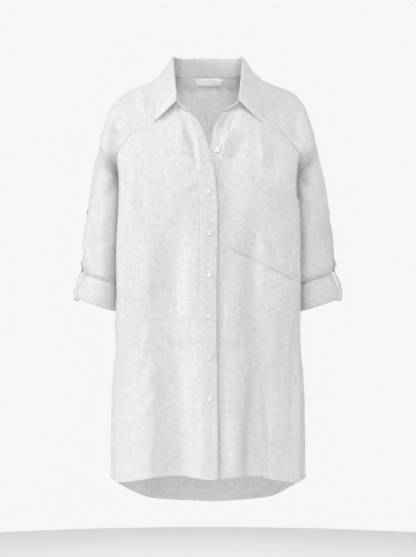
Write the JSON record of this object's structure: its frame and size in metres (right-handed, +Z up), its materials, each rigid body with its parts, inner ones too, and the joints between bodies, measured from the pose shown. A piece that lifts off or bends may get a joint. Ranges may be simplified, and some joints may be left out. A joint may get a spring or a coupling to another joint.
{
  "type": "oversized shirt",
  "caption": "Long loose linen shirt with raglan sleeves rolled and held by straps, a soft turned-down collar, a buttoned front, a tilted breast pocket and a curved, longer back hem.",
  "frame": {"origin": "middle of the wearer's shoulders, at the height where the collar meets the shoulder line", "axes": "+Z up, -Y the way the wearer faces, +X the wearer's left"},
  "size_m": [0.5572, 0.2801, 0.9461],
  "materials": {
    "linen": "white plain-weave linen",
    "pearl": "white pearly plastic",
    "satin": "white woven satin"
  },
  "bodies": {
    "root": {"back": "linen", "front_right": "linen", "front_left": "linen", "band_right": "linen", "band_left": "linen", "sleeve_right": "linen", "sleeve_left": "linen", "collar_stand": "linen", "collar_fall": "linen", "pocket": "linen", "cuff_right": "linen", "cuff_left": "linen", "strap_right": "linen", "strap_left": "linen", "button_1": "pearl", "button_2": "pearl", "button_3": "pearl", "button_4": "pearl", "button_5": "pearl", "button_6": "pearl", "button_7": "pearl", "strap_button_left": "pearl", "strap_button_right": "pearl", "sleeve_button_left": "pearl", "sleeve_button_right": "pearl", "label": "satin"}
  },
  "joints": []
}
